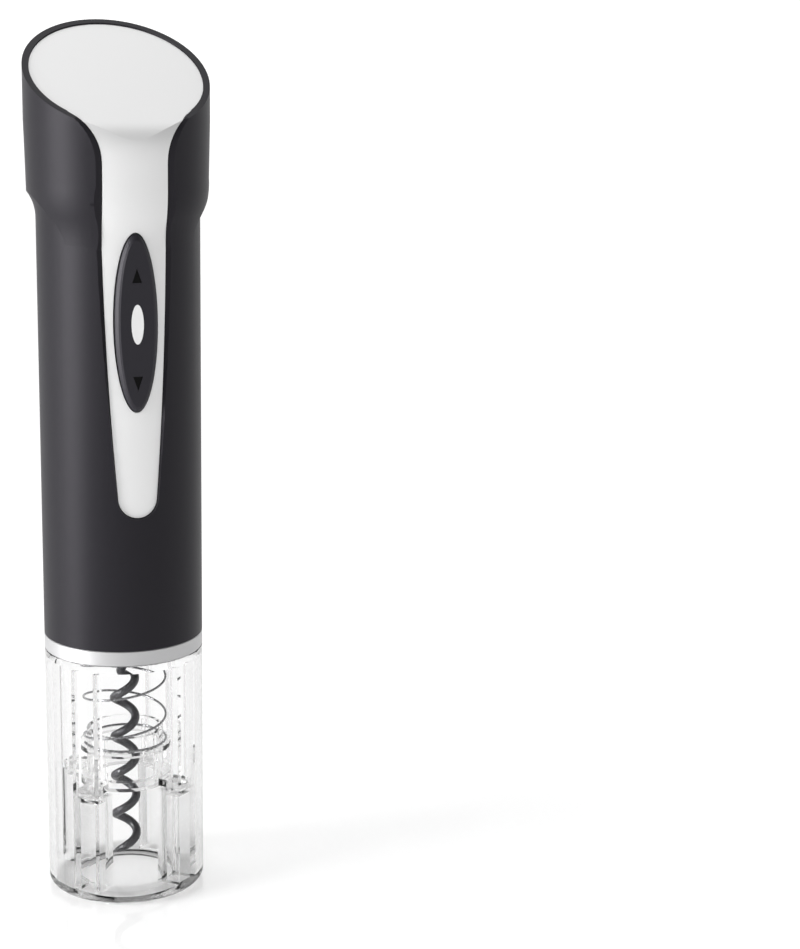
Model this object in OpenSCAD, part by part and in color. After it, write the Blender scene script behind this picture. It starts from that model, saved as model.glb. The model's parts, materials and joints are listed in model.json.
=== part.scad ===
// Electric wine opener: a rechargeable, free-standing corkscrew with a clear bell for the bottle neck.
// The origin is the centre of the bell's bottom rim. +Z is up, and the face plate and button face -Y.

/* [Body] */
// Outer radius of the body tube, the trim ring and the bell
body_r = 25.5; // [25.3:0.1:26]
// Wall thickness of the two housing halves
wall = 2.2; // [2.1:0.1:2.4]
// Height of the bell below the trim ring
bell_h = 81; // [80:0.5:82]
// Height of the trim ring
ring_h = 5.1; // [4.8:0.1:5.4]

/* [Head] */
// Radius of the head just above its lower edge
head_low_r = 28.2; // [28:0.1:28.4]
// Radius of the head at its slanted top
head_r = 28.7; // [28.5:0.1:29]
// Height of the head's lower edge at the sides and back
head_z = 228.3; // [227:0.1:229]
// Height of the concave curve under the head
cove_h = 8.2; // [7:0.1:9]
// Height of the slanted top where it crosses the main axis
top_z = 264.3; // [263:0.1:266]
// Slope of the top, in degrees above the horizon towards the back
top_slope = 28.4; // [27:0.1:30]
// Radius of the bend from the slanted top into the vertical front
bend_r = 9; // [8:0.5:10]

/* [Face plate] */
// Height of the round tip at the lower end of the plate's tongue
tongue_tip_z = 129; // [128:0.5:131]
// Half of the tongue's width where its sides run straight
tongue_half = 10.1; // [9.8:0.1:10.3]
// Thickness of the plate
plate_t = 1; // [0.8:0.1:1.1]
// Depth of the tongue below the surface around it
tongue_sink = 1; // [0.8:0.1:1.1]
// Depth of the round top of the plate below the rim around it
disc_sink = 0.4; // [0.3:0.1:0.6]
// Widest bevel of the housing around the tongue
bevel_max = 1.9; // [1.5:0.1:2.1]

/* [Button] */
// Height of the middle of the rocker button
button_z = 190.2; // [189.5:0.1:191]
// Length of the button
button_l = 54.9; // [54:0.1:55.5]
// Width of the button
button_w = 13.2; // [12.8:0.1:13.4]
// Distance from the main axis to the button's front face
button_face = 26.6; // [26.3:0.1:26.9]

/* [Worm and sleeve] */
// Outer radius of the worm
worm_r = 4.85; // [4.6:0.05:5]
// Radius of the worm's wire
worm_wire = 1.4; // [1.2:0.05:1.5]
// Rise of the worm in one turn
worm_pitch = 13.47; // [12.5:0.01:14]
// Height of the worm's point
worm_tip_z = 8; // [7:0.5:10]
// Inner radius of the cork sleeve
sleeve_in = 11.2; // [11:0.1:11.3]
// Height of the lower end of the sleeve at rest
sleeve_z = 35.2; // [35.2:0.1:36]
// Mean radius of the return spring
spring_r = 13.4; // [13.3:0.05:13.5]

/* [Gears] */
// Gear module
gear_m = 0.6; // [0.6:0.01:0.6]
// Teeth on each sun gear
sun_teeth = 12; // [12:1:12]
// Teeth on each planet gear
planet_teeth = 15; // [15:1:15]
// Thinning of each tooth flank at the pitch circle
flank_play = 0.05; // [0.045:0.005:0.06]

/* [Hidden] */
$fn = 96;
far = 60;

// ---- Heights and radii that follow from the dimensions above ----
body_z = bell_h + ring_h;
inner_r = body_r - wall;
top_tan = tan(top_slope);
top_sec = 1 / cos(top_slope);
head_full_z = 250;
model_top = 300;
cove_r = (pow(head_low_r - body_r, 2) + cove_h * cove_h) / (2 * (head_low_r - body_r));
// Shallow overlap where one curve runs smoothly into the next
blend = 0.01;
flare_z0 = 212.5;
flare_z1 = 231;
flare_top = 236;
flare_cut_r = 16;
flare_cut_z = head_z - flare_cut_r;

// Colours
black = [0.06, 0.06, 0.065];
silver = [0.80, 0.80, 0.81];
steel = [0.62, 0.63, 0.65];
dark_steel = [0.20, 0.20, 0.21];
brass = [0.78, 0.62, 0.30];
copper = [0.72, 0.40, 0.22];
clear = [0.85, 0.90, 0.92, 0.35];
nylon = [0.88, 0.87, 0.82];
grey = [0.35, 0.36, 0.38];
green = [0.08, 0.32, 0.18];
blue = [0.16, 0.30, 0.55];
red = [0.60, 0.10, 0.10];

// ---- Functions ----
function clamp01(u) = min(1, max(0, u));
function smooth(u) = u * u * (3 - 2 * u);
function unit(v) = v / norm(v);
function arc(c, r, a0, a1, n) = [for (i = [0:n])
    let (a = a0 + (a1 - a0) * i / n) c + r * [cos(a), sin(a)]];
function ellipse_points(a, b, n = 60) = [for (i = [0:n - 1]) [b * cos(360 * i / n), a * sin(360 * i / n)]];

// Radius of the head's straight side at height z
function head_side(z) = head_low_r + (head_r - head_low_r) * min(1, (z - head_z) / (head_full_z - head_z));
// The flare under the head at the front is a hollow arc followed by a round one
flare_r0 = body_r - 2 * blend;
flare_r1 = head_side(flare_z1) + 6 * blend;
flare_rise = flare_z1 - flare_z0;
flare_out = flare_r1 - flare_r0;
flare_arc = (flare_out * flare_out + flare_rise * flare_rise) / (4 * flare_out) + blend / 2;
// Radius of the front surface at height z
function arc_dip(z) = flare_arc - sqrt(pow(flare_arc, 2) - z * z);
function front_r(z) = z < flare_z0 ? body_r
    : z < (flare_z0 + flare_z1) / 2 ? max(body_r, flare_r0 + arc_dip(z - flare_z0))
    : max(z < head_z ? 0 : head_side(z), flare_r1 - arc_dip(z - flare_z1));

// ---- Outer shape of the body ----
// Turned body with the cove under the head, inset by the given distance
module turned_body(inset) {
    cove_z = head_z - cove_h;
    rotate_extrude() difference() {
        polygon([[0, body_z], [body_r - inset, body_z], [body_r - inset, cove_z],
            [head_side(cove_z) - inset, cove_z], [head_r - inset, head_full_z], [head_r - inset, model_top],
            [0, model_top]]);
        translate([body_r + cove_r - blend, cove_z]) circle(cove_r + inset);
    }
}

// Flare that fills the cove at the front, cut off in an arc seen from the side
module front_flare(inset) {
    middle_z = flare_z0 + flare_rise * (flare_arc + inset) / (2 * flare_arc);
    difference() {
        rotate_extrude() difference() {
            translate([10, flare_z0]) square([head_r - 10, flare_top - flare_z0]);
            translate([flare_r0 + flare_arc, flare_z0]) circle(flare_arc + inset);
            difference() {
                translate([20, middle_z]) square(20);
                translate([flare_r1 - flare_arc, flare_z1]) circle(flare_arc - inset);
            }
        }
        translate([0, 0, flare_cut_z]) rotate([0, 90, 0]) cylinder(h = 2 * far, r = flare_cut_r, center = true);
        translate([-far, 0, 0]) cube([2 * far, far, model_top]);
    }
}

// Side view of the head: a slanted top that bends into the vertical front, drawn along X
module side_profile(side_inset, top_inset) {
    front = head_r + 2 * blend - side_inset;
    r = bend_r - side_inset;
    level = top_z - top_inset * top_sec;
    centre_y = r - front;
    centre_z = level + top_tan * centre_y - r * top_sec;
    rotate([90, 0, 90]) linear_extrude(2 * far, center = true)
        polygon([[-front, 0], [-front, centre_z], [centre_y, centre_z],
            [centre_y - r * sin(top_slope), centre_z + r * cos(top_slope)],
            [far, level + top_tan * far], [far, 0]]);
    translate([0, centre_y, centre_z]) rotate([0, 90, 0])
        cylinder(h = 2 * far, r = r + blend, center = true);
}

module envelope(side_inset, top_inset) {
    intersection() {
        union() {
            turned_body(side_inset);
            front_flare(side_inset);
        }
        side_profile(side_inset, top_inset);
    }
}

// Hollow inside the two housing halves
top_wall = 3;
module cavity() {
    intersection() {
        rotate_extrude() polygon([[0, body_z - 1], [inner_r, body_z - 1], [inner_r, 222],
            [head_r - wall, 231], [head_r - wall, model_top], [0, model_top]]);
        side_profile(wall + 1.4, top_wall);
    }
}

// ---- Outline of the plate's tongue, seen from the front ----
// Each entry is [x, z, normal x, normal z, width of the bevel there]
tongue_straight_z = 232;
tongue_bend_r = 1214;
tongue_start_z = tongue_tip_z + 5.7;
tongue_lean = asin((tongue_straight_z - tongue_start_z) / tongue_bend_r);
tip_r = (tongue_half - tongue_bend_r * (1 - cos(tongue_lean))) / cos(tongue_lean);
tip_centre_z = tongue_start_z + tip_r * sin(tongue_lean);
shoulder_z = 239;
shoulder_r = 17.1;
shoulder_end = 118.7;
disc_r = 26.7;
bevel_min = 0.3;
bevel_z0 = 140;
bevel_z1 = 232;

function bevel_at(z) = bevel_min + (bevel_max - bevel_min) * clamp01((z - bevel_z0) / (bevel_z1 - bevel_z0));
tip_side = [for (i = [0:8]) let (a = -90 + (90 - tongue_lean) * i / 8)
    [tip_r * cos(a), tip_centre_z + tip_r * sin(a), cos(a), sin(a), bevel_min]];
long_side = [for (i = [1:10])
    let (a = -tongue_lean * (1 - i / 10), z = tongue_straight_z + tongue_bend_r * sin(a))
    [tongue_half - tongue_bend_r * (1 - cos(a)), z, cos(a), sin(a), bevel_at(z)]];
shoulder_side = [for (i = [0:9]) let (a = 180 + (shoulder_end - 180) * i / 9)
    [tongue_half + shoulder_r * (1 + cos(a)), shoulder_z + shoulder_r * sin(a), -cos(a), -sin(a),
        bevel_max - 1.4 * pow(i / 9, 2)]];
right_side = concat(tip_side, long_side, shoulder_side);
outline = concat(right_side, [for (i = [len(right_side) - 1:-1:1]) let (p = right_side[i])
    [-p[0], p[1], -p[2], p[3], p[4]]]);

// Outline moved outwards by the distance d
function tongue_points(d) = [for (p = outline) [p[0] + d * p[2], p[1] + d * p[3]]];
function on_front(x, z, sink) = [x, -sqrt(pow(front_r(z) - sink, 2) - x * x), z];

// Skin of side faces between loops of equally many points, closed by flat faces at both ends
module loft(loops) {
    n = len(loops[0]);
    sides = [for (k = [0:len(loops) - 2], i = [0:n - 1], half = [0, 1])
        let (a = k * n + i, b = k * n + (i + 1) % n)
        half == 0 ? [a, b + n, b] : [a, a + n, b + n]];
    polyhedron(points = [for (l = loops, p = l) p],
        faces = concat(sides, [[for (i = [0:n - 1]) i], [for (i = [n - 1:-1:0]) (len(loops) - 1) * n + i]]));
}

// Room for the tongue: straight walls at the plate, then a bevel out to the surface
module tongue_cutter() {
    deep = [for (p = outline) on_front(p[0], p[1], tongue_sink)];
    rim = [for (p = outline) on_front(p[0] + p[4] * p[2], p[1] + p[4] * p[3], 0)];
    past = [for (i = [0:len(rim) - 1]) rim[i] + 0.8 * (rim[i] - deep[i])];
    loft([[for (p = deep) [p[0], -12, p[2]]], deep, past, [for (p = past) [p[0], -far, p[2]]]]);
}

module tongue_prism(d) {
    rotate([90, 0, 0]) linear_extrude(far) polygon(tongue_points(d));
}

module button_prism(gap) {
    translate([0, 0, button_z]) rotate([90, 0, 0]) linear_extrude(far)
        polygon(ellipse_points(button_l / 2 + gap, button_w / 2 + gap));
}

// ---- Housing ----
post_low = [0, 158.5];
post_high_x = 7;
post_high_z = 238;
posts = [post_low, [-post_high_x, post_high_z], [post_high_x, post_high_z]];
post_r = 3.2;
screw_r = 1.25;
screw_seat = 5.5;
pocket_depth = tongue_sink + plate_t;
jack_z = 243;
jack_r = 3.4;
snap_z = 88;
snap_h = 2;
board_y = -13.6;
board_t = 1.6;
board_screw_x = 10.5;
board_screw_z = [170, 212];

module front_half() { translate([-far, -far, 0]) cube([2 * far, far, model_top]); }
module rear_half() { translate([-far, 0, 0]) cube([2 * far, far, model_top]); }

// Inner ledge that reaches in to radius r from a wall at radius out
module ledge(z, h, r, out = inner_r) {
    translate([0, 0, z]) difference() {
        cylinder(h = h, r = out + 0.5);
        translate([0, 0, -1]) cylinder(h = h + 2, r = r);
    }
}

module shell() {
    difference() {
        union() {
            difference() {
                envelope(0, 0);
                cavity();
            }
            ledge(95.6, 1.8, 21.2);
            ledge(140, 2, 12.3);
        }
        translate([0, 0, snap_z - 0.1]) cylinder(h = snap_h + 0.3, r = inner_r + 1.1);
    }
}

// Floor that backs the plate's tongue where the wall alone would be too thin
floor_in = 22.1;
floor_out = 24;
module tongue_floor() {
    intersection() {
        rotate_extrude() polygon([[floor_in, 126], [floor_out, 126], [floor_out, 214], [27, 228], [27, 248],
            [25, 248], [25, 229], [floor_in, 214]]);
        tongue_prism(1.4);
    }
}

module post(x, z, y0, y1) {
    translate([x, y1, z]) rotate([90, 0, 0]) cylinder(h = y1 - y0, r = post_r);
}

module front_body() {
    intersection() { shell(); front_half(); }
    tongue_floor();
    intersection() {
        envelope(0.5, 2);
        union() {
            for (p = posts) post(p[0], p[1], -far, -0.1);
            for (x = [-1, 1], z = board_screw_z)
                translate([x * board_screw_x, board_y, z]) rotate([90, 0, 0]) cylinder(h = far, r = 2.2);
        }
    }
}

module front_housing() {
    color(black) difference() {
        front_body();
        plate_pocket();
        button_prism(1.1);
        for (p = posts) translate([p[0], 0, p[1]]) rotate([90, 0, 0]) {
            cylinder(h = far, r = screw_r + 0.25);
            translate([0, 0, front_r(p[1]) - screw_seat]) cylinder(h = far, r = 2.7);
        }
        for (x = [-1, 1], z = board_screw_z)
            translate([x * board_screw_x, board_y + 1, z]) rotate([90, 0, 0]) cylinder(h = 5.5, r = 0.9);
    }
}

// Recess for the plate: its tongue with bevelled walls, and its round top
module plate_pocket() {
    difference() {
        union() {
            tongue_cutter();
            translate([0, 0, shoulder_z]) cylinder(h = far, r = disc_r);
        }
        envelope(pocket_depth, disc_sink + plate_t);
    }
}

module rear_housing() {
    color(black) difference() {
        union() {
            intersection() { shell(); rear_half(); }
            intersection() {
                envelope(0.5, 2);
                for (p = posts) post(p[0], p[1], 0.1, far);
            }
            intersection() {
                union() {
                    ledge(161, 1.6, 19.5);
                    ledge(232.4, 1.6, 19.5, head_r - wall);
                }
                rear_half();
            }
        }
        plate_pocket();
        for (p = posts) translate([p[0], 14, p[1]]) rotate([90, 0, 0]) cylinder(h = 20, r = screw_r);
        translate([0, far, jack_z]) rotate([90, 0, 0]) cylinder(h = far - 20, r = jack_r + 0.1);
    }
}

module face_plate() {
    color(silver) difference() {
        intersection() {
            union() {
                tongue_prism(-0.12);
                translate([0, 0, shoulder_z + 2]) cylinder(h = far, r = disc_r - 0.12);
            }
            envelope(tongue_sink, disc_sink);
        }
        envelope(pocket_depth - 0.05, disc_sink + plate_t - 0.05);
        button_prism(0.35);
        rear_cut_below_disc();
    }
}

// Clears everything behind the tongue and below the round top
module rear_cut_below_disc() {
    translate([-far, -12, 0]) cube([2 * far, 2 * far, 245]);
}

module trim_ring() {
    color(silver) translate([0, 0, bell_h]) rotate_extrude() polygon([[inner_r, 0], [body_r - 0.35, 0],
        [body_r, 0.35], [body_r, ring_h - 0.35], [body_r - 0.35, ring_h], [inner_r, ring_h]]);
}

module housing_screws() {
    color(steel) for (p = posts) translate([p[0], 0, p[1]]) rotate([90, 0, 0]) {
        translate([0, 0, -13]) cylinder(h = 13 + front_r(p[1]) - screw_seat + 0.1, r = screw_r);
        translate([0, 0, front_r(p[1]) - screw_seat]) difference() {
            cylinder(h = 1.6, r = 2.5);
            translate([0, 0, 1.5]) for (a = [0, 90]) rotate(a) cube([3.2, 0.7, 1.7], center = true);
        }
    }
}

// ---- Bell ----
bell_wall = 2.2;
bell_in = body_r - bell_wall;
spigot_r = inner_r - 0.2;
spigot_top = 92;
bottle_r = 15.6;
rib_top = 35;
rib_w = 9.5;
rail_top = 78;
base_round = 3;

module bell() {
    color(clear) union() {
        rotate_extrude() polygon(concat(
            [[bottle_r + 1, 0]],
            arc([body_r - base_round, base_round], base_round, -90, 0, 10),
            [[body_r, bell_h], [spigot_r, bell_h], [spigot_r, spigot_top], [bell_in - 2, spigot_top],
                [bell_in - 2, bell_h], [bell_in, bell_h - 3], [bell_in, 3], [bottle_r, 3], [bottle_r, 1]]));
        for (a = [45:90:315]) rotate(a) {
            difference() {
                intersection() {
                    translate([bottle_r - 2, -rib_w / 2, 2]) cube([body_r - bottle_r, rib_w, rib_top - 2]);
                    difference() {
                        cylinder(h = rib_top, r = bell_in + 0.5);
                        translate([0, 0, -1]) cylinder(h = rib_top + 2, r = bottle_r + 0.3);
                    }
                }
                translate([bottle_r + 2, -rib_w / 2 + 2, -1]) cube([4, rib_w - 4, rib_top - 1]);
            }
            for (s = [-1, 1]) translate([bell_in - 3, s * (rib_w / 2 - 0.7) - 0.7, rib_top - 0.5])
                cube([3.1, 1.4, rail_top - rib_top]);
        }
        // Lugs that snap into the groove of the housing
        for (a = [0:90:270]) rotate([0, 0, a - 12]) rotate_extrude(angle = 24)
            translate([spigot_r - 0.5, snap_z]) polygon([[0, 0], [1.4, 0.8], [1.4, snap_h], [0, snap_h]]);
    }
}

// ---- Sweeps along a path ----
// Loops of a round wire: each entry of path is [point, outward direction, wire radius]
function wire_loops(path, sides) = [for (i = [0:len(path) - 1])
    let (a = path[max(0, i - 1)][0], b = path[min(len(path) - 1, i + 1)][0],
        t = unit(b - a), o = path[i][1], n = unit(o - (o * t) * t), m = cross(t, n))
    [for (k = [0:sides - 1]) path[i][0] + path[i][2] * (cos(360 * k / sides) * n + sin(360 * k / sides) * m)]];

// ---- Worm and its hub ----
worm_line = worm_r - worm_wire;
worm_end_z = 71;
worm_axis_z = 77.5;
worm_top_z = 84.5;
worm_step = 15;
worm_low_angle = 168.2;
worm_low_z = 22.2;
point_len = 4.5;
worm_sides = 12;

function worm_angle(z) = worm_low_angle + 360 * (min(z, worm_axis_z) - worm_low_z) / worm_pitch;
function worm_line_r(z) = worm_line * (1 - smooth(clamp01((z - worm_end_z) / (worm_axis_z - worm_end_z))));
function worm_wire_at(z) = worm_wire * (0.12 + 0.88 * pow(clamp01((z - worm_tip_z) / point_len), 0.6));
worm_dz = worm_pitch * worm_step / 360;
worm_zs = concat([for (z = [worm_tip_z:worm_dz:worm_axis_z]) z], [worm_axis_z + 1, worm_top_z]);
worm_path = [for (z = worm_zs) let (a = worm_angle(z))
    [[worm_line_r(z) * cos(a), worm_line_r(z) * sin(a), z], [cos(a), sin(a), 0], worm_wire_at(z)]];

module worm() {
    color(dark_steel) loft(wire_loops(worm_path, worm_sides));
}

hub_r = 5.6;
hub_z = 78.6;
hub_top = 88.6;
shaft_r = 3;
shaft_end_z = 84.6;
set_screw_r = 1.4;

module worm_hub() {
    color(steel) difference() {
        translate([0, 0, hub_z]) rotate_extrude() polygon([[0, 0], [hub_r - 0.8, 0], [hub_r, 0.8],
            [hub_r, hub_top - hub_z - 0.5], [hub_r - 0.5, hub_top - hub_z], [0, hub_top - hub_z]]);
        translate([0, 0, hub_z - 1]) cylinder(h = 8, r = worm_wire + 0.05);
        translate([0, 0, shaft_end_z]) cylinder(h = 8, r = shaft_r);
        translate([0, 0, 86.4]) rotate([0, 90, 0]) cylinder(h = far, r = set_screw_r);
    }
}

module hub_screw() {
    color(dark_steel) translate([shaft_r, 0, 86.4]) rotate([0, 90, 0]) difference() {
        cylinder(h = hub_r - shaft_r - 0.3, r = set_screw_r);
        translate([0, 0, 1]) cylinder(h = 3, r = 0.8, $fn = 6);
    }
}

// ---- Cork sleeve and its spring ----
sleeve_wall = 1.3;
sleeve_out = sleeve_in + sleeve_wall;
sleeve_top = 52.6;
flange_z = 46.6;
flange_t = 1.6;
flange_r = 14.9;
arm_h = 3;
arm_w = 6;
arm_end = 22.8;

module cork_sleeve() {
    color(clear) {
        difference() {
            union() {
                translate([0, 0, sleeve_z]) cylinder(h = sleeve_top - sleeve_z, r = sleeve_out);
                translate([0, 0, flange_z]) cylinder(h = flange_t, r = flange_r);
                translate([0, 0, sleeve_z]) cylinder(h = arm_h, r = flange_r);
                for (a = [45:90:315]) rotate(a) intersection() {
                    translate([sleeve_out + 0.6, -arm_w / 2, sleeve_z + 0.3]) cube([arm_end, arm_w, arm_h - 0.6]);
                    cylinder(h = 2 * far, r = arm_end);
                }
            }
            translate([0, 0, sleeve_z - 1]) cylinder(h = sleeve_top - sleeve_z + 2, r = sleeve_in);
        }
        // Fins that keep the cork from turning
        for (a = [45:90:315]) rotate(a) translate([sleeve_in - 0.5, -0.4, sleeve_z + 0.6])
            cube([0.9, 0.8, sleeve_top - sleeve_z - 1.6]);
    }
}

spring_wire = 0.375;
spring_low = flange_z + flange_t + spring_wire + 0.02;
spring_high = spigot_top - spring_wire - 0.02;
spring_pitch = 13.1;
spring_right_z = 69.9;
spring_turn_angle = -11.8;
spring_step = 15;
spring_sides = 8;
// The spring climbs between two flat end turns
spring_a0 = spring_turn_angle + 360 * (spring_low - spring_right_z) / spring_pitch;
spring_a1 = spring_turn_angle + 360 * (spring_high - spring_right_z) / spring_pitch;
function spring_z(a) = a < spring_a0 ? spring_low
    : a > spring_a1 ? spring_high
    : spring_low + (spring_high - spring_low) * (a - spring_a0) / (spring_a1 - spring_a0);
spring_path = [for (a = [spring_a0 - 300:spring_step:spring_a1 + 300])
    [[spring_r * cos(a), spring_r * sin(a), spring_z(a)], [cos(a), sin(a), 0], spring_wire]];

module return_spring() {
    color(steel) loft(wire_loops(spring_path, spring_sides));
}

// ---- Gearbox ----
mount_top = 95.5;
mount_boss_z = 89;
mount_boss_r = 6.8;
bush_out = 4.2;
case_in = 15.5;
case_out = 17;
case_top = 120.4;
ear_line = 18.4;
ear_r = 2.4;
small_screw_r = 1;
small_head_r = 1.9;
flange_top = 122.4;
motor_screw_x = 8;
ears = [45:90:315];

module ear_ring(z, h) {
    for (a = ears) rotate(a) translate([ear_line, 0, z]) cylinder(h = h, r = ear_r);
}

module ear_holes(z, h, r) {
    for (a = ears) rotate(a) translate([ear_line, 0, z]) cylinder(h = h, r = r);
}

module gearbox_mount() {
    color(nylon) difference() {
        union() {
            translate([0, 0, spigot_top]) cylinder(h = mount_top - spigot_top, r = spigot_r);
            translate([0, 0, mount_boss_z]) cylinder(h = mount_top - mount_boss_z, r = mount_boss_r);
            // Collar that centres the top turn of the spring
            translate([0, 0, spigot_top - 2]) cylinder(h = 3, r = spring_r - 1);
        }
        translate([0, 0, spigot_top - 3]) difference() {
            cylinder(h = 3, r = spring_r - 2.4);
            translate([0, 0, -1]) cylinder(h = 5, r = mount_boss_r);
        }
        translate([0, 0, mount_boss_z - 1]) cylinder(h = 10, r = bush_out);
        ear_holes(spigot_top - 1, 6, small_screw_r + 0.1);
        ear_holes(spigot_top - 1, 2.6, small_head_r + 0.1);
    }
}

module output_bush() {
    color(brass) translate([0, 0, mount_boss_z]) difference() {
        cylinder(h = mount_top - mount_boss_z, r = bush_out);
        translate([0, 0, -1]) cylinder(h = 10, r = shaft_r + 0.05);
    }
}

module thrust_washer() {
    color(nylon) translate([0, 0, mount_top + 0.02]) difference() {
        cylinder(h = 1.8, r = 7);
        translate([0, 0, -1]) cylinder(h = 4, r = shaft_r + 0.3);
    }
}

module gearbox_case() {
    color(grey) difference() {
        union() {
            translate([0, 0, mount_top]) cylinder(h = case_top - mount_top, r = case_out);
            ear_ring(mount_top, case_top - mount_top);
        }
        translate([0, 0, mount_top - 1]) cylinder(h = far, r = case_in);
        ear_holes(mount_top - 1, 7, small_screw_r);
        ear_holes(case_top - 6, 7, small_screw_r);
    }
}

module motor_flange() {
    color(steel) difference() {
        union() {
            translate([0, 0, case_top]) cylinder(h = flange_top - case_top, r = case_out);
            ear_ring(case_top, flange_top - case_top);
        }
        translate([0, 0, case_top - 1]) cylinder(h = 4, r = 3.1);
        for (x = [-1, 1]) translate([x * motor_screw_x, 0, case_top - 1]) {
            cylinder(h = 4, r = small_screw_r + 0.1);
            cylinder(h = 2.1, r = small_head_r + 0.1);
        }
        ear_holes(case_top - 1, 4, small_screw_r + 0.1);
    }
}

module small_screw(length) {
    cylinder(h = length, r = small_screw_r);
    translate([0, 0, -1]) difference() {
        cylinder(h = 1, r = small_head_r);
        translate([0, 0, -0.1]) for (a = [0, 90]) rotate(a) cube([2.4, 0.5, 0.9], center = true);
    }
}

module gearbox_screws() {
    color(steel) {
        for (a = ears) rotate(a) {
            translate([ear_line, 0, spigot_top + 1.6]) small_screw(6.5);
            translate([ear_line, 0, flange_top]) rotate([180, 0, 0]) small_screw(6.5);
        }
        for (x = [-1, 1]) translate([x * motor_screw_x, 0, case_top + 1.05]) small_screw(2.1);
    }
}

// ---- Gears ----
ring_teeth = sun_teeth + 2 * planet_teeth;
pressure = 20;
addendum = 0.85;
ring_addendum = 0.75;
dedendum = 1.2;
planet_line = gear_m * (sun_teeth + planet_teeth) / 2;
stage_pitch = 7.8;
planet_h = 5;
pin_r = 1.25;
carrier_r = 11.2;
carrier_t = 1.6;
stage_3_z = 99.4;
flank_steps = 4;

function involute(a) = tan(a) * 180 / PI - a;
// Half of a tooth's angle at radius r, for z teeth and a flank moved by play
function half_tooth(z, r, play) = let (rp = gear_m * z / 2, rb = rp * cos(pressure), rr = max(r, rb))
    90 / z + play * 180 / (PI * rp) + involute(pressure) - involute(acos(min(1, rb / rr)));
// Outline of a gear whose teeth run from radius r0 to radius r1, the first centred on +X
function gear_outline(z, r0, r1, play) = [for (k = [0:z - 1], s = [-1, 1], i = [0:flank_steps])
    let (u = s < 0 ? i / flank_steps : 1 - i / flank_steps, r = r0 + (r1 - r0) * u,
        a = 360 * k / z + s * half_tooth(z, r, play))
    r * [cos(a), sin(a)]];

module gear(z, h) {
    rp = gear_m * z / 2;
    linear_extrude(h) polygon(gear_outline(z, rp - dedendum * gear_m, rp + addendum * gear_m, -flank_play));
}

module ring_gear() {
    rp = gear_m * ring_teeth / 2;
    color(nylon) translate([0, 0, mount_top + 1.5]) linear_extrude(case_top - mount_top - 1.7)
        difference() {
            circle(case_in - 0.03);
            polygon(gear_outline(ring_teeth, rp - ring_addendum * gear_m, rp + dedendum * gear_m, flank_play));
        }
}

// Height of the planets of a stage; stage 3 drives the worm and stage 1 sits at the motor
function stage_z(stage) = stage_3_z + (3 - stage) * stage_pitch;

module planet(stage, index) {
    color(nylon) rotate(120 * index) translate([planet_line, 0, stage_z(stage)]) difference() {
        gear(planet_teeth, planet_h);
        translate([0, 0, -1]) cylinder(h = planet_h + 2, r = pin_r + 0.05);
    }
}

module planet_1a() { planet(1, 0); }
module planet_1b() { planet(1, 1); }
module planet_1c() { planet(1, 2); }
module planet_2a() { planet(2, 0); }
module planet_2b() { planet(2, 1); }
module planet_2c() { planet(2, 2); }
module planet_3a() { planet(3, 0); }
module planet_3b() { planet(3, 1); }
module planet_3c() { planet(3, 2); }

module pin_holes(z) {
    for (i = [0:2]) rotate(120 * i) translate([planet_line, 0, z - 1]) cylinder(h = carrier_t + 2, r = pin_r);
}

module carrier_pins(stage) {
    color(steel) for (i = [0:2]) rotate(120 * i)
        translate([planet_line, 0, stage_z(stage) - 0.4 - carrier_t])
            cylinder(h = carrier_t + planet_h + 0.6, r = pin_r);
}

// Carrier plate under a stage, with the sun gear of the next stage below it
module carrier(stage) {
    z = stage_z(stage) - 0.4 - carrier_t;
    color(steel) {
        difference() {
            translate([0, 0, z]) cylinder(h = carrier_t, r = carrier_r);
            pin_holes(z);
        }
        translate([0, 0, stage_z(stage + 1) - 0.2]) gear(sun_teeth, z - stage_z(stage + 1) + 0.2);
    }
}

module carrier_1() { carrier(1); }
module carrier_2() { carrier(2); }
module carrier_pins_1() { carrier_pins(1); }
module carrier_pins_2() { carrier_pins(2); }
module carrier_pins_3() { carrier_pins(3); }

module carrier_3() {
    z = stage_3_z - 0.4 - carrier_t;
    color(steel) {
        difference() {
            translate([0, 0, z]) cylinder(h = carrier_t, r = carrier_r);
            pin_holes(z);
        }
        translate([0, 0, shaft_end_z]) cylinder(h = z - shaft_end_z, r = shaft_r);
    }
}

// ---- Motor ----
can_r = 12.2;
can_in = 11.3;
can_top = 150.5;
cap_top = 152.4;
motor_shaft_r = 1;
pinion_z = stage_z(1) - 0.2;
core_z = [128, 142];
core_r = 8.7;
commutator_z = [144.4, 148.2];
commutator_r = 2.2;

module motor_can() {
    color(steel) difference() {
        union() {
            translate([0, 0, flange_top]) cylinder(h = can_top - flange_top, r = can_r);
            translate([0, 0, flange_top - 1.4]) cylinder(h = 2, r = 3);
        }
        translate([0, 0, flange_top + 1.2]) cylinder(h = far, r = can_in);
        translate([0, 0, flange_top - 3]) cylinder(h = 9, r = motor_shaft_r + 0.05);
        for (x = [-1, 1]) translate([x * motor_screw_x, 0, flange_top - 1]) cylinder(h = 4, r = small_screw_r);
    }
}

module motor_magnets() {
    color(dark_steel) for (a = [-60, 120]) rotate(a) rotate_extrude(angle = 120)
        translate([9.2, 125]) square([can_in - 9.25, 22]);
}

module motor_end_cap() {
    color(nylon) difference() {
        union() {
            translate([0, 0, can_top]) cylinder(h = cap_top - can_top, r = can_r);
            translate([0, 0, can_top - 1.5]) cylinder(h = 2, r = can_in - 0.05);
            translate([0, 0, cap_top - 1]) cylinder(h = 2, r = 3.4);
        }
        translate([0, 0, can_top - 2]) cylinder(h = 4.4, r = motor_shaft_r + 0.05);
        for (x = [-1, 1]) translate([x * 8 - 0.3, -1.5, can_top - 3]) cube([0.6, 3, 8]);
    }
}

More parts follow.
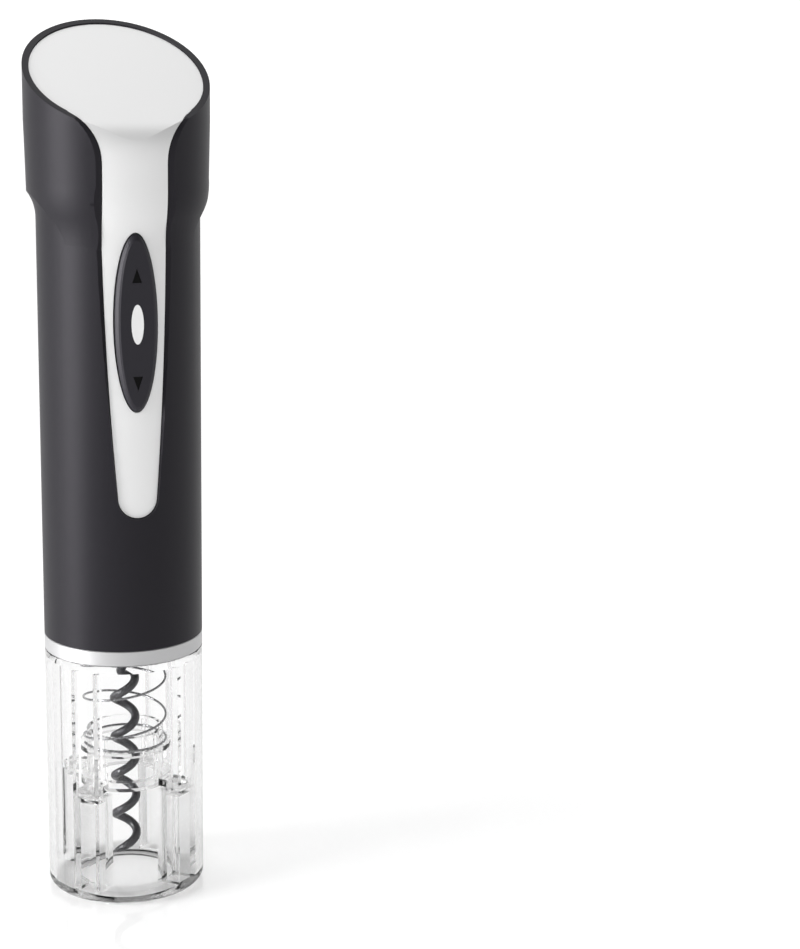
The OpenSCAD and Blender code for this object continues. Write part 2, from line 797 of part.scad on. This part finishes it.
module motor_brushes() {
    color(brass) for (s = [-1, 1]) scale([s, 1, 1]) {
        translate([commutator_r + 0.05, -1, 145]) cube([1.8, 2, 2.8]);
        translate([commutator_r + 1.85, -1.2, 145]) cube([0.4, 2.4, can_top - 1.5 - 145]);
    }
}

module motor_terminals() {
    color(brass) for (x = [-1, 1]) translate([x * 8 - 0.3, -1.5, can_top - 1.5]) difference() {
        cube([0.6, 3, 7]);
        translate([-1, 1.5, 5.4]) rotate([0, 90, 0]) cylinder(h = 3, r = 0.7);
    }
}

module motor_shaft() {
    color(steel) translate([0, 0, pinion_z]) cylinder(h = 152.6 - pinion_z, r = motor_shaft_r);
}

module motor_pinion() {
    color(brass) translate([0, 0, pinion_z]) difference() {
        gear(sun_teeth, 5.4);
        translate([0, 0, -1]) cylinder(h = 8, r = motor_shaft_r);
    }
}

module armature_core() {
    color(grey) translate([0, 0, core_z[0]]) linear_extrude(core_z[1] - core_z[0]) difference() {
        union() {
            circle(3.2);
            for (a = [0, 120, 240]) rotate(a) {
                translate([0, -1.5]) square([7.5, 3]);
                intersection() {
                    difference() { circle(core_r); circle(core_r - 1.6); }
                    polygon([[0, 0], [far, -far * tan(52)], [far, far * tan(52)]]);
                }
            }
        }
        circle(motor_shaft_r);
    }
}

module armature_windings() {
    color(copper) for (a = [0, 120, 240]) rotate(a) difference() {
        translate([3.6, -2.9, core_z[0] - 1.6]) cube([2.4, 5.8, core_z[1] - core_z[0] + 3.2]);
        translate([3, -1.5, core_z[0]]) cube([5, 3, core_z[1] - core_z[0]]);
    }
}

module commutator() {
    color(copper) translate([0, 0, commutator_z[0]]) difference() {
        cylinder(h = commutator_z[1] - commutator_z[0], r = commutator_r);
        translate([0, 0, -1]) cylinder(h = 9, r = motor_shaft_r);
        for (a = [60, 180, 300]) rotate(a) translate([1.5, -0.15, -1]) cube([2, 0.3, 9]);
    }
}

// ---- Battery ----
cell_r = 9.1;
cell_x = 9.4;
cell_y = 7;
cell_z = [165.2, 229.8];
cell_skin = 22.8;

module battery_cells() {
    color(blue) for (s = [-1, 1]) translate([s * cell_x, cell_y, cell_z[0]]) {
        cylinder(h = cell_z[1] - cell_z[0] - 1.2, r = cell_r);
        cylinder(h = cell_z[1] - cell_z[0], r = 3.2);
    }
}

module battery_holder() {
    color(black) difference() {
        intersection() {
            translate([-19, -2, 162.7]) cube([38, 20, 69.6]);
            translate([0, 0, 160]) cylinder(h = 80, r = cell_skin);
        }
        translate([-20, -10, 164.7]) cube([40, 26.5, 65.6]);
    }
}

module battery_tabs() {
    color(steel) {
        for (s = [-1, 1]) translate([s * cell_x - 3, -3.8, cell_z[0] - 0.5]) cube([6, 14.2, 0.5]);
        translate([-cell_x - 3, cell_y - 3, cell_z[1]]) cube([2 * cell_x + 6, 6, 0.5]);
    }
}

// ---- Controls ----
pivot_y = -20.2;
post_arm = 17;
plunger_r = 1.5;
plunger_face = -17.25;
switch_front = -16.1;
pin_len = 13.4;

module control_board() {
    color(green) difference() {
        translate([-13, board_y, 164]) cube([26, board_t, 57]);
        for (x = [-1, 1], z = board_screw_z)
            translate([x * board_screw_x, board_y + 3, z]) rotate([90, 0, 0]) cylinder(h = 5, r = 1.1);
    }
}

module board_parts() {
    back = board_y + board_t;
    color(dark_steel) {
        translate([-3, back, 176]) cube([6, 1.5, 5]);
        translate([-2.5, back, 198]) cube([5, 1.2, 4]);
        translate([-6, back, 186]) cube([4, 2.4, 4]);
        translate([2.5, back, 187]) cube([3.2, 1, 1.6]);
        translate([4.5, back, 207]) rotate([-90, 0, 0]) cylinder(h = 3.5, r = 2.5);
        for (i = [0:3]) translate([-7 + 3 * i, back, 193]) cube([1.6, 0.6, 0.8]);
    }
}

module board_screws() {
    color(steel) for (x = [-1, 1], z = board_screw_z)
        translate([x * board_screw_x, board_y + board_t, z]) rotate([90, 0, 0]) {
            cylinder(h = 6, r = 0.9);
            translate([0, 0, -1.2]) cylinder(h = 1.2, r = 1.8);
        }
}

module switch_bodies() {
    color(grey) for (s = [-1, 1]) translate([0, 0, button_z + s * post_arm]) difference() {
        translate([-3, switch_front, -3]) cube([6, board_y - switch_front, 6]);
        translate([0, board_y - 0.15, 0]) rotate([90, 0, 0]) cylinder(h = 5, r = plunger_r + 0.05);
    }
}

module switch_plunger(side) {
    color(red) translate([0, board_y - 1.1, button_z + side * post_arm]) rotate([90, 0, 0])
        cylinder(h = board_y - 1.1 - plunger_face, r = plunger_r);
}

module switch_plunger_up() { switch_plunger(1); }
module switch_plunger_down() { switch_plunger(-1); }

module status_led() {
    color(nylon) translate([-1.6, board_y - 1.4, button_z - 0.9]) cube([3.2, 1.4, 1.8]);
}

module button_bracket() {
    color(nylon) translate([0, 0, button_z]) difference() {
        union() {
            translate([-6.7, -17.6, -6]) cube([13.4, 1.2, 12]);
            for (s = [-1, 1]) translate([s * 5.7 - 1, -21.55, -2.6]) cube([2, 5, 5.2]);
            for (x = [-1, 1], z = [-1, 1])
                translate([x * 5.2 - 1.5, -17, z * 5 - 1]) cube([3, 17 + board_y, 2]);
        }
        translate([-2.2, -19, -3.2]) cube([4.4, 4, 6.4]);
        translate([0, pivot_y, 0]) rotate([0, 90, 0]) cylinder(h = 20, r = 1, center = true);
    }
}

module button_pin() {
    color(steel) translate([0, pivot_y, button_z]) rotate([0, 90, 0])
        cylinder(h = pin_len, r = 1, center = true);
}

function button_loop(grow, y) = [for (p = ellipse_points(button_l / 2 - grow, button_w / 2 - 0.72 * grow))
    [p[0], -y, p[1] + button_z]];

module triangle_mark(z, up) {
    translate([0, -button_face + 0.3, z]) rotate([90, 0, 0]) linear_extrude(2)
        polygon([[-1.55, -2.25 * up], [1.55, -2.25 * up], [0, 2.25 * up]]);
}

module window_shape(depth) {
    translate([0, -22.4, button_z]) rotate([90, 0, 0]) linear_extrude(depth)
        polygon(ellipse_points(6.1, 1.9, 40));
}

module rocker_button() {
    color(black) difference() {
        union() {
            loft([button_loop(0, 21.8), button_loop(0, 25.3), button_loop(1.1, 26.2),
                button_loop(1.9, button_face)]);
            for (s = [-1, 1]) {
                translate([s * 3.4 - 1, -22, button_z - 2.2]) cube([2, 3.4, 4.4]);
                translate([0, -17.4, button_z + s * post_arm]) rotate([90, 0, 0]) cylinder(h = 4.6, r = 1.3);
            }
        }
        translate([0, pivot_y, button_z]) rotate([0, 90, 0]) cylinder(h = 20, r = 1.05, center = true);
        window_shape(10);
        translate([-2, -22.4, button_z - 3]) cube([4, 2, 6]);
        triangle_mark(button_z + 14.9, 1);
        triangle_mark(button_z - 18.3, -1);
    }
}

module button_window() {
    color("white") window_shape(button_face + 0.12 - 22.4);
}

// ---- Charging jack ----
jack_face = 28.1;
jack_back = 15.5;
jack_bore = 1.3;
jack_depth = 11.5;

module charge_jack() {
    color(dark_steel) translate([0, jack_back, jack_z]) rotate([-90, 0, 0]) difference() {
        union() {
            cylinder(h = jack_face - jack_back, r = jack_r);
            translate([0, 0, 9.4]) cylinder(h = 1.2, r = 4.6);
        }
        translate([0, 0, jack_face - jack_back - jack_depth]) cylinder(h = far, r = jack_bore);
    }
}

// ---- Wires ----
// Routes from terminal to board on the +X side; the other wire of each pair is its mirror image
wire_r = 0.6;
motor_route = [[8.9, 0, 155], [10.5, -1.5, 157.5], [11, -5, 161], [10, -8.5, 165.5], [7.5, -11.3, 167]];
jack_route = [[1.6, 15.4, 243.5], [1.7, 12, 242.5], [2, 6, 240], [2.4, -1.5, 236], [2.8, -6, 231],
    [3.4, -11.3, 218]];
battery_route = [[11, -3.1, 165.8], [12.8, -4.8, 167.5], [11.6, -8, 172], [9.8, -10, 176], [8.4, -11.3, 178]];

function smooth_route(p, n = 3) = [for (i = [0:len(p) - 2], k = [0:n - 1])
    let (a = p[max(0, i - 1)], b = p[i], c = p[i + 1], d = p[min(len(p) - 1, i + 2)], u = k / n)
    0.5 * (2 * b + (c - a) * u + (2 * a - 5 * b + 4 * c - d) * u * u + (3 * b - a - 3 * c + d) * u * u * u)];

module wire(route, side) {
    line = [for (p = concat(smooth_route(route), [route[len(route) - 1]])) [side * p[0], p[1], p[2]]];
    loft(wire_loops([for (p = line) [p, [1, 0, 0.2], wire_r]], 8));
}

module wires() {
    for (side = [-1, 1]) color(side > 0 ? red : black) {
        wire(motor_route, side);
        wire(jack_route, side);
        wire(battery_route, side);
    }
}

front_housing();
rear_housing();
face_plate();
trim_ring();
bell();
housing_screws();
gearbox_mount();
output_bush();
thrust_washer();
gearbox_case();
ring_gear();
motor_flange();
gearbox_screws();
motor_can();
motor_magnets();
motor_end_cap();
motor_brushes();
motor_terminals();
motor_shaft();
armature_core();
armature_windings();
commutator();
motor_pinion();
carrier_1();
carrier_pins_1();
planet_1a();
planet_1b();
planet_1c();
carrier_2();
carrier_pins_2();
planet_2a();
planet_2b();
planet_2c();
carrier_3();
carrier_pins_3();
planet_3a();
planet_3b();
planet_3c();
worm_hub();
hub_screw();
worm();
cork_sleeve();
return_spring();
battery_cells();
battery_holder();
battery_tabs();
control_board();
board_parts();
board_screws();
switch_bodies();
switch_plunger_up();
switch_plunger_down();
status_led();
button_bracket();
button_pin();
rocker_button();
button_window();
charge_jack();
wires();
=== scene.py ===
"""Electric wine opener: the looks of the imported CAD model, its lights and its camera."""
import json
import math

import bpy
from mathutils import Matrix, Vector


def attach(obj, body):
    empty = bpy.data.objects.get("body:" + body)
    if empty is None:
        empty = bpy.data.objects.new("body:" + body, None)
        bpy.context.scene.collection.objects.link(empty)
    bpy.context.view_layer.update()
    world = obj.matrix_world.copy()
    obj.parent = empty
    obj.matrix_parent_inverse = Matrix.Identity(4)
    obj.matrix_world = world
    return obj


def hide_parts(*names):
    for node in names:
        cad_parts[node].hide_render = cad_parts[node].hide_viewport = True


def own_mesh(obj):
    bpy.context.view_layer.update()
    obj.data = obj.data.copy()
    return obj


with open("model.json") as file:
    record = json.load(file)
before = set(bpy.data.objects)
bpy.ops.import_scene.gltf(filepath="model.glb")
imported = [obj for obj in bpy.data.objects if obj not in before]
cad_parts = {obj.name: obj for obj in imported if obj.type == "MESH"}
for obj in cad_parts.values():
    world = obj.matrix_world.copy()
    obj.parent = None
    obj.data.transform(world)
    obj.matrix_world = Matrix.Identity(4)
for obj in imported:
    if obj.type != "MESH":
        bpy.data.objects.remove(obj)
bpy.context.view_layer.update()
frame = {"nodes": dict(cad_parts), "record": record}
nodes = frame["nodes"]
MM = 0.001
# Indices of the Mix node's sockets when it mixes vectors
VECTOR_A, VECTOR_B, VECTOR_RESULT = 4, 5, 1


# ---- Materials ----
def principled(name, color, roughness, metallic=0.0, **sockets):
    """A material with the Principled shader, its sockets set directly. Returns (material, shader)."""
    material = bpy.data.materials.new(name)
    material.use_nodes = True
    shader = material.node_tree.nodes["Principled BSDF"]
    shader.inputs["Base Color"].default_value = (*color, 1.0)
    shader.inputs["Roughness"].default_value = roughness
    shader.inputs["Metallic"].default_value = metallic
    for socket, value in sockets.items():
        shader.inputs[socket.replace("_", " ")].default_value = value
    return material, shader


def add_node(tree, kind, values=None, **settings):
    """A new node of a node tree. values gives its input sockets' values, by name or index."""
    node = tree.nodes.new(kind)
    for setting, value in settings.items():
        setattr(node, setting, value)
    for socket, value in (values or {}).items():
        node.inputs[socket].default_value = value
    return node


def object_noise(tree, scale, stretch=(1.0, 1.0, 1.0), detail=3.0):
    """Noise fixed to the object's own coordinates, finer along the axes with a larger stretch."""
    coords = add_node(tree, "ShaderNodeTexCoord")
    mapping = add_node(tree, "ShaderNodeMapping", {"Scale": stretch})
    noise = add_node(tree, "ShaderNodeTexNoise", {"Scale": scale, "Detail": detail})
    tree.links.new(coords.outputs["Object"], mapping.inputs["Vector"])
    tree.links.new(mapping.outputs["Vector"], noise.inputs["Vector"])
    return noise


def vary_roughness(material, shader, noise, low, high):
    tree = material.node_tree
    span = add_node(tree, "ShaderNodeMapRange", {"To Min": low, "To Max": high})
    tree.links.new(noise.outputs["Fac"], span.inputs["Value"])
    tree.links.new(span.outputs["Result"], shader.inputs["Roughness"])


def add_bump(material, shader, noise, strength, distance):
    tree = material.node_tree
    bump = add_node(tree, "ShaderNodeBump", {"Strength": strength, "Distance": distance})
    tree.links.new(noise.outputs["Fac"], bump.inputs["Height"])
    tree.links.new(bump.outputs["Normal"], shader.inputs["Normal"])


def grained(name, color, low, high, metallic=0.0, scale=2500.0, stretch=(1, 1, 1), bump=0.0,
            depth=2e-5, **sockets):
    """A finish with roughness from low to high in a fine grain, and a shallow bump if bump isn't 0."""
    material, shader = principled(name, color, (low + high) / 2, metallic, **sockets)
    noise = object_noise(material.node_tree, scale, stretch)
    vary_roughness(material, shader, noise, low, high)
    if bump:
        add_bump(material, shader, noise, bump, depth)
    return material


def clear_plastic(name, ior, density):
    """Clear moulded plastic that greys a little where the line of sight runs along a wall."""
    material, _ = principled(name, (1.0, 1.0, 1.0), 0.015, Transmission_Weight=1.0, IOR=ior)
    tree = material.node_tree
    grey = add_node(tree, "ShaderNodeVolumeAbsorption", {"Color": (0.0, 0.0, 0.0, 1.0), "Density": density})
    tree.links.new(grey.outputs["Volume"], tree.nodes["Material Output"].inputs["Volume"])
    return material


# The cosine between the true and the smooth normal below which soften_bend() leaves the true one
LEAST_AGREEMENT = 0.42


def soften_bend(material, radius, low, high, slope, strength):
    """Shades the bend of the face plate as one smooth turn.

    The shading normal leans from the round front, below the height low, to the flat top, above high.
    radius is the front's apparent radius and slope is the angle of the flat top to the level.
    strength is the share of this normal in the mix with the true one. Where the two are far apart, as
    on the plate's side walls, the true one stays.
    """
    tree = material.node_tree
    link = tree.links.new
    surface = add_node(tree, "ShaderNodeNewGeometry")
    place = add_node(tree, "ShaderNodeSeparateXYZ")
    link(surface.outputs["Position"], place.inputs["Vector"])
    across = add_node(tree, "ShaderNodeMath", {1: 1 / radius}, operation="MULTIPLY")
    link(place.outputs["X"], across.inputs[0])
    front = add_node(tree, "ShaderNodeCombineXYZ", {"Y": -1.0})
    link(across.outputs["Value"], front.inputs["X"])
    height = add_node(tree, "ShaderNodeMapRange", {"From Min": low, "From Max": high},
                      interpolation_type="SMOOTHSTEP")
    link(place.outputs["Z"], height.inputs["Value"])
    turned = add_node(tree, "ShaderNodeMix", {VECTOR_B: (0.0, -math.sin(slope), math.cos(slope))},
                      data_type="VECTOR")
    link(height.outputs["Result"], turned.inputs["Factor"])
    link(front.outputs["Vector"], turned.inputs[VECTOR_A])
    smooth = add_node(tree, "ShaderNodeVectorMath", operation="NORMALIZE")
    link(turned.outputs[VECTOR_RESULT], smooth.inputs[0])
    agreement = add_node(tree, "ShaderNodeVectorMath", operation="DOT_PRODUCT")
    link(surface.outputs["Normal"], agreement.inputs[0])
    link(smooth.outputs["Vector"], agreement.inputs[1])
    on_face = add_node(tree, "ShaderNodeMath", {1: LEAST_AGREEMENT}, operation="GREATER_THAN")
    link(agreement.outputs["Value"], on_face.inputs[0])
    share = add_node(tree, "ShaderNodeMath", {1: strength}, operation="MULTIPLY")
    link(on_face.outputs["Value"], share.inputs[0])
    mixed = add_node(tree, "ShaderNodeMix", data_type="VECTOR")
    link(share.outputs["Value"], mixed.inputs["Factor"])
    link(surface.outputs["Normal"], mixed.inputs[VECTOR_A])
    link(smooth.outputs["Vector"], mixed.inputs[VECTOR_B])
    bump = next(n for n in tree.nodes if n.bl_idname == "ShaderNodeBump")
    link(mixed.outputs[VECTOR_RESULT], bump.inputs["Normal"])


COOL_TINT = (0.96, 0.93, 1.0, 1.0)
soft_touch = grained("soft_touch_black", (0.0100, 0.0093, 0.0120), 0.42, 0.52, scale=3000, bump=0.5,
                     Specular_IOR_Level=0.20, Specular_Tint=COOL_TINT)
plate_finish = grained("satin_plate", (0.80, 0.80, 0.80), 0.48, 0.60, metallic=0.55, scale=2600, bump=0.5)
soften_bend(plate_finish, radius=0.12, low=0.2370, high=0.2518, slope=math.radians(28.4), strength=0.52)
ring_finish = grained("satin_ring", (0.50, 0.50, 0.505), 0.44, 0.56, metallic=0.9, scale=2600,
                      bump=0.7, depth=3e-5)
clear_shell = clear_plastic("clear_shell", 1.18, 32.0)
clear_sleeve = clear_plastic("clear_sleeve", 1.22, 20.0)
worm_finish = grained("worm_coating", (0.060, 0.060, 0.066), 0.30, 0.42, metallic=0.3, scale=900,
                      bump=0.1)
spring_finish = grained("spring_wire", (0.30, 0.30, 0.31), 0.22, 0.32, metallic=1.0, scale=1200)
steel = grained("plain_steel", (0.55, 0.56, 0.58), 0.25, 0.38, metallic=1.0, scale=1500)
nylon = grained("moulded_nylon", (0.80, 0.79, 0.74), 0.40, 0.50, scale=1800, bump=0.08)
grey_plastic = grained("grey_plastic", (0.16, 0.17, 0.18), 0.42, 0.52, scale=1800, bump=0.08)
black_plastic = grained("black_plastic", (0.0110, 0.0104, 0.0140), 0.38, 0.48, scale=1800, bump=0.08,
                        Specular_IOR_Level=0.30, Specular_Tint=COOL_TINT)
brass = grained("brass", (0.72, 0.52, 0.22), 0.24, 0.34, metallic=1.0, scale=1200)
copper = grained("copper_wire", (0.60, 0.26, 0.12), 0.28, 0.38, metallic=0.9, scale=900,
                 stretch=(1, 1, 8), bump=0.4)
magnet = grained("sintered_magnet", (0.06, 0.06, 0.065), 0.45, 0.6, metallic=0.5, scale=2500, bump=0.2)
cell_film = grained("cell_film", (0.05, 0.14, 0.36), 0.22, 0.30, scale=800)
board_mask = grained("board_mask", (0.02, 0.14, 0.06), 0.28, 0.40, scale=1500)
red_plastic = grained("red_plastic", (0.42, 0.03, 0.03), 0.38, 0.48, scale=1500)
window_white = grained("window_white", (0.80, 0.80, 0.80), 0.18, 0.26, scale=900, Coat_Weight=0.5)
wire_cover = grained("wire_cover", (0.30, 0.02, 0.02), 0.42, 0.5, scale=1200)

FINISH_OF_SLOT = {
    "soft_black": soft_touch, "plate_silver": plate_finish, "ring_silver": ring_finish,
    "clear_plastic": clear_shell, "steel": steel, "spring_steel": spring_finish,
    "worm_coating": worm_finish, "nylon": nylon, "grey_plastic": grey_plastic, "brass": brass,
    "copper": copper, "magnet": magnet, "cell_wrap": cell_film, "board": board_mask,
    "parts_black": black_plastic, "button_black": black_plastic, "window_white": window_white,
    "red_plastic": red_plastic, "wire_cover": wire_cover,
}
for part in frame["record"]["subparts"]:
    mesh = nodes[part["node"]].data
    mesh.materials.clear()
    mesh.materials.append(FINISH_OF_SLOT[part["material_slot"]])
nodes["cork_sleeve"].data.materials[0] = clear_sleeve


# ---- Swept pieces: the worm and the return spring, finer than their CAD solids ----
def mesh_piece(name, verts, faces, finish):
    mesh = bpy.data.meshes.new(name)
    mesh.from_pydata([tuple(v) for v in verts], [], faces)
    mesh.update()
    mesh.materials.append(finish)
    obj = bpy.data.objects.new(name, mesh)
    bpy.context.scene.collection.objects.link(obj)
    return obj


def smooth_step(u):
    return u * u * (3 - 2 * u)


def clamp01(u):
    return min(1.0, max(0.0, u))


def swept_tube(name, path, sides, finish):
    """Smooth round tube along path, a list of (point, outward direction, radius)."""
    verts, faces = [], []
    for i, (point, outward, radius) in enumerate(path):
        before, after = path[max(0, i - 1)][0], path[min(len(path) - 1, i + 1)][0]
        tangent = (after - before).normalized()
        normal = (outward - outward.dot(tangent) * tangent).normalized()
        side = tangent.cross(normal)
        for k in range(sides):
            turn = 2 * math.pi * k / sides
            verts.append(point + radius * (math.cos(turn) * normal + math.sin(turn) * side))
    for i in range(len(path) - 1):
        for k in range(sides):
            a, b = i * sides + k, i * sides + (k + 1) % sides
            faces.append((a, b, b + sides, a + sides))
    faces.append(tuple(reversed(range(sides))))
    faces.append(tuple(range((len(path) - 1) * sides, len(path) * sides)))
    tube = mesh_piece(name, verts, faces, finish)
    tube.data.polygons.foreach_set("use_smooth", [len(f) == 4 for f in faces])
    tube.data.update()
    return tube


# The worm, in mm: the radius of its centre line and of its wire and the length of one turn; the heights of
# its tip, of where it starts to run in to the axis, of where it has reached it and of its top; the
# direction in degrees in which it stands at one height; the length over which its tip tapers
WORM_LINE, WORM_WIRE, WORM_PITCH = 3.45, 1.4, 13.47
WORM_TIP, WORM_END, WORM_AXIS, WORM_TOP = 8.0, 71.0, 77.5, 84.5
WORM_ANGLE, WORM_ANGLE_Z = 168.2, 22.2
WORM_TAPER = 4.5
STEPS_PER_TURN = 48


def worm_path():
    path = []
    step = WORM_PITCH / STEPS_PER_TURN
    count = int((WORM_AXIS - WORM_TIP) / step)
    heights = [WORM_TIP + step * i for i in range(count + 1)] + [WORM_AXIS + 1, WORM_TOP]
    for z in heights:
        turn = math.radians(WORM_ANGLE + 360 * (min(z, WORM_AXIS) - WORM_ANGLE_Z) / WORM_PITCH)
        line = WORM_LINE * (1 - smooth_step(clamp01((z - WORM_END) / (WORM_AXIS - WORM_END))))
        wire = WORM_WIRE * (0.10 + 0.90 * clamp01((z - WORM_TIP) / WORM_TAPER) ** 0.6)
        outward = Vector((math.cos(turn), math.sin(turn), 0))
        path.append((MM * Vector((line * outward.x, line * outward.y, z)), outward, MM * wire))
    return path


worm = swept_tube("worm_coated", worm_path(), sides=28, finish=worm_finish)
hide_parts("worm")
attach(worm, "spindle")

# The spring, in mm: the radius of its centre line and of its wire and the length of one turn; the heights
# of its two flat ends; the height at which it passes the direction SPRING_RIGHT, in degrees
SPRING_R, SPRING_WIRE, SPRING_PITCH = 13.4, 0.375, 13.1
SPRING_LOW, SPRING_HIGH, SPRING_RIGHT_Z, SPRING_RIGHT = 48.595, 91.605, 69.9, -11.8
# The turn of each flat end, and about how far apart the points of the path are
FLAT_END, DEGREES_PER_STEP = 300, 5


def spring_path():
    start = SPRING_RIGHT + 360 * (SPRING_LOW - SPRING_RIGHT_Z) / SPRING_PITCH
    end = SPRING_RIGHT + 360 * (SPRING_HIGH - SPRING_RIGHT_Z) / SPRING_PITCH
    sweep = end - start + 2 * FLAT_END
    count = int(sweep / DEGREES_PER_STEP)
    path = []
    for i in range(count + 1):
        degrees = start - FLAT_END + sweep * i / count
        z = SPRING_LOW + (SPRING_HIGH - SPRING_LOW) * clamp01((degrees - start) / (end - start))
        turn = math.radians(degrees)
        outward = Vector((math.cos(turn), math.sin(turn), 0))
        centre = MM * Vector((SPRING_R * outward.x, SPRING_R * outward.y, z))
        path.append((centre, outward, MM * SPRING_WIRE))
    return path


spring = swept_tube("return_spring_wire", spring_path(), sides=12, finish=spring_finish)
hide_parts("return_spring")
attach(spring, "housing")
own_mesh(spring)

# ---- Painted marks in the recesses of the button: turn in above, turn out below ----
mark_paint, _ = principled("mark_paint", (0.002, 0.002, 0.002), 0.6, Specular_IOR_Level=0.1)
# In mm: the heights of the two marks, half their width and height, and how far in front of the axis the
# back and the front of the paint are
MARK_UP_Z, MARK_DOWN_Z = 205.1, 171.9
MARK_HALF_W, MARK_HALF_H = 1.45, 2.15
MARK_BACK, MARK_FRONT = 26.305, 26.35


def button_mark(name, z, way):
    """A flat triangle at height z that points up for way 1 and down for way -1."""
    low = z - MARK_HALF_H * way
    corners = [(-MARK_HALF_W * way, low), (MARK_HALF_W * way, low), (0, z + MARK_HALF_H * way)]
    verts = [(MM * x, -MM * y, MM * h) for y in (MARK_BACK, MARK_FRONT) for x, h in corners]
    faces = [(0, 2, 1), (3, 4, 5), (0, 1, 4, 3), (1, 2, 5, 4), (2, 0, 3, 5)]
    mark = mesh_piece(name, verts, faces, mark_paint)
    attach(mark, "rocker")


button_mark("button_mark_up", MARK_UP_Z, 1)
button_mark("button_mark_down", MARK_DOWN_Z, -1)

# ---- Floor, just below the object, with a faint glow that keeps it white near and far ----
FLOOR_SIZE, FLOOR_DROP = 200, 0.0002
bpy.ops.mesh.primitive_plane_add(size=FLOOR_SIZE, location=(0, 0, -FLOOR_DROP))
ground = bpy.context.object
ground.name = "pale_floor"
floor_finish, floor_shader = principled("pale_floor", (0.70, 0.70, 0.70), 0.045, Specular_IOR_Level=1.0,
                                        Emission_Color=(1.0, 1.0, 1.0, 1.0))
floor_tree = floor_finish.node_tree
floor_coords = add_node(floor_tree, "ShaderNodeTexCoord")
floor_reach = add_node(floor_tree, "ShaderNodeVectorMath", operation="LENGTH")
floor_glow = add_node(floor_tree, "ShaderNodeMapRange",
                      {"From Min": 0.2, "From Max": 2.2, "To Min": 0.42, "To Max": 0.33})
floor_tree.links.new(floor_coords.outputs["Object"], floor_reach.inputs[0])
floor_tree.links.new(floor_reach.outputs["Value"], floor_glow.inputs["Value"])
floor_tree.links.new(floor_glow.outputs["Result"], floor_shader.inputs["Emission Strength"])
ground.data.materials.append(floor_finish)

# ---- Light: white surroundings, bright at the horizon and dimmer overhead, and two softboxes ----
world = bpy.data.worlds.new("studio")
bpy.context.scene.world = world
world.use_nodes = True
sky = world.node_tree
backdrop = sky.nodes["Background"]
backdrop.inputs["Color"].default_value = (1.0, 1.0, 1.0, 1.0)
sky_coords = add_node(sky, "ShaderNodeTexCoord")
sky_height = add_node(sky, "ShaderNodeSeparateXYZ")
sky_fade = add_node(sky, "ShaderNodeMapRange",
                    {"From Min": 0.28, "From Max": 0.60, "To Min": 1.0, "To Max": 0.42})
sky.links.new(sky_coords.outputs["Generated"], sky_height.inputs["Vector"])
sky.links.new(sky_height.outputs["Z"], sky_fade.inputs["Value"])
sky.links.new(sky_fade.outputs["Result"], backdrop.inputs["Strength"])


def softbox(name, location, target, width, height, power):
    """A rectangular area light that faces target, sized in metres, with its power in watts."""
    light = bpy.data.lights.new(name, "AREA")
    light.shape = "RECTANGLE"
    light.size, light.size_y = width, height
    light.energy = power
    obj = bpy.data.objects.new(name, light)
    obj.location = location
    obj.rotation_euler = (Vector(target) - Vector(location)).to_track_quat("-Z", "Y").to_euler()
    bpy.context.scene.collection.objects.link(obj)


softbox("left_softbox", (-0.80, -0.10, 0.20), (0, 0, 0.14), 0.42, 0.8, 12.0)
softbox("top_softbox", (0.00, 0.35, 1.10), (0, 0, 0.20), 0.8, 0.8, 2.4)

# ---- Camera, in front of the object, a little above and to the left ----
# Its place and its aim are given as if the object were turned by YAW; in_frame() turns them back
YAW, PAN, ROLL, TILT = math.radians(11.8), math.radians(7.567), math.radians(0.953), math.radians(13.0)
DISTANCE, EYE_HEIGHT = 0.6779, 0.2942
LENS = 81.62


def in_frame(v):
    """A direction or place given with the object turned by YAW, in the object's own frame."""
    return Matrix.Rotation(-YAW, 3, "Z") @ Vector(v)


forward = Vector((math.sin(PAN) * math.cos(TILT), math.cos(PAN) * math.cos(TILT), -math.sin(TILT)))
level = Vector((math.cos(PAN), -math.sin(PAN), 0))
upward = level.cross(forward)
right = math.cos(ROLL) * level + math.sin(ROLL) * upward
up = -math.sin(ROLL) * level + math.cos(ROLL) * upward
axes = [in_frame(right), in_frame(up), in_frame(-forward)]
place = in_frame((0, -DISTANCE, EYE_HEIGHT))
lens = bpy.data.cameras.new("camera")
lens.lens = LENS
lens.sensor_width = 36
lens.clip_start = 0.01
camera = bpy.data.objects.new("camera", lens)
camera.matrix_world = Matrix([[*(a[i] for a in axes), place[i]] for i in range(3)] + [[0, 0, 0, 1]])
bpy.context.scene.collection.objects.link(camera)
bpy.context.scene.camera = camera

scene = bpy.context.scene
scene.view_settings.view_transform = "Standard"
scene.cycles.transmission_bounces = 16
scene.cycles.max_bounces = 20

bpy.context.view_layer.update()
